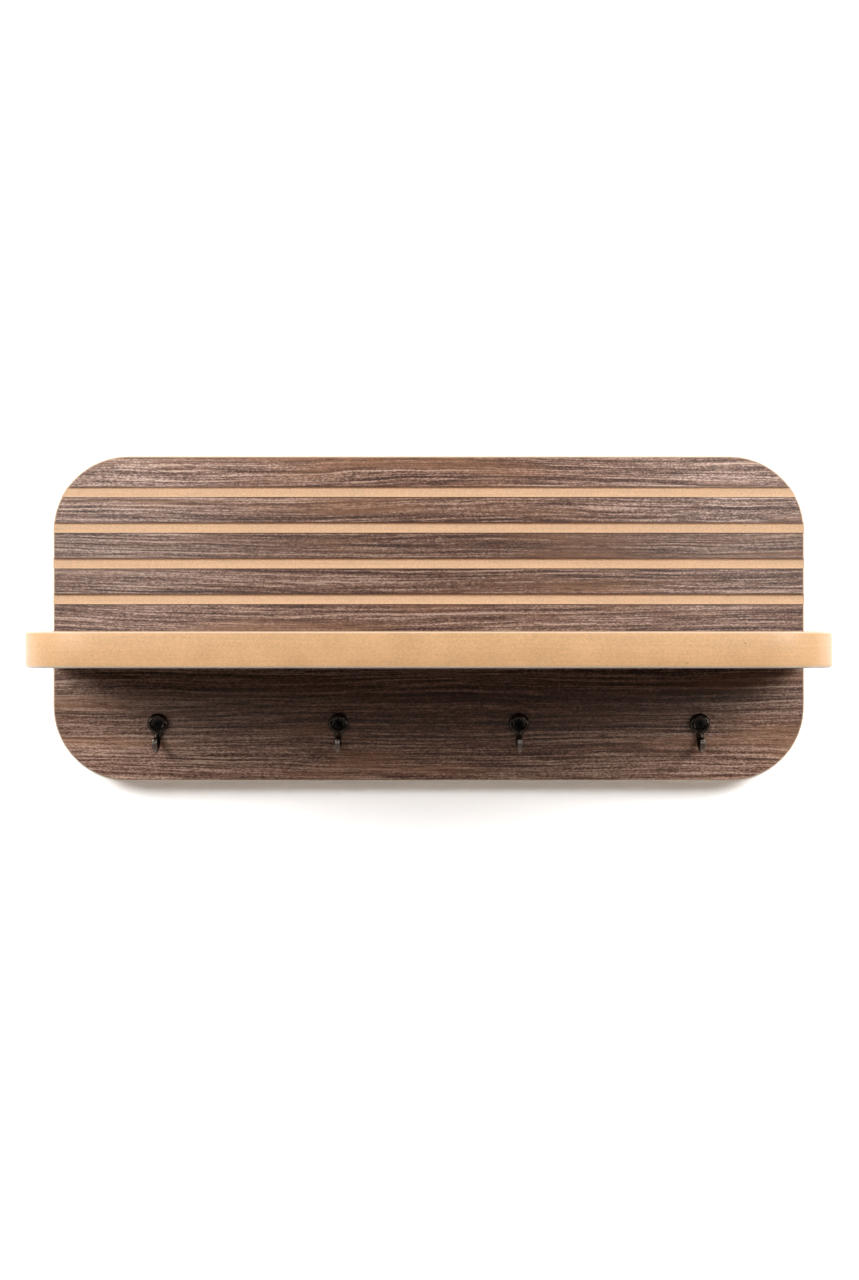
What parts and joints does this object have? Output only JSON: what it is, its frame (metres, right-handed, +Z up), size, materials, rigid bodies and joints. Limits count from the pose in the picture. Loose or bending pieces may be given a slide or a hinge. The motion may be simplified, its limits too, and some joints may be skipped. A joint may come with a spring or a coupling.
{
  "type": "wall shelf",
  "caption": "Wall shelf with a grooved, walnut-faced back board, a ledge across it and a row of small hooks below the ledge.",
  "frame": {"origin": "middle of the back board's back face, in the wall's plane", "axes": "+X to the right, +Y into the wall, +Z up"},
  "size_m": [0.4, 0.148, 0.1732],
  "materials": {
    "mdf": "clear matt lacquer on a sanded edge",
    "walnut_facing": "matt walnut facing with an open grain",
    "hook_metal": "dark bronze, glossy",
    "dark_screw": "black oxide",
    "zinc_screw": "zinc plated",
    "beech": "raw, fluted"
  },
  "bodies": {
    "root": {"back_board_core": "mdf", "shelf_core": "mdf", "hook_screws": "dark_screw", "shelf_screws": "zinc_screw", "dowels": "beech", "back_facing": "walnut_facing", "facing_strip_1": "walnut_facing", "facing_strip_2": "walnut_facing", "facing_strip_3": "walnut_facing", "facing_strip_4": "walnut_facing", "facing_lower_panel": "walnut_facing", "shelf_top_facing": "walnut_facing", "shelf_underside_facing": "walnut_facing", "hook_1": "hook_metal", "hook_2": "hook_metal", "hook_3": "hook_metal", "hook_4": "hook_metal"}
  },
  "joints": []
}
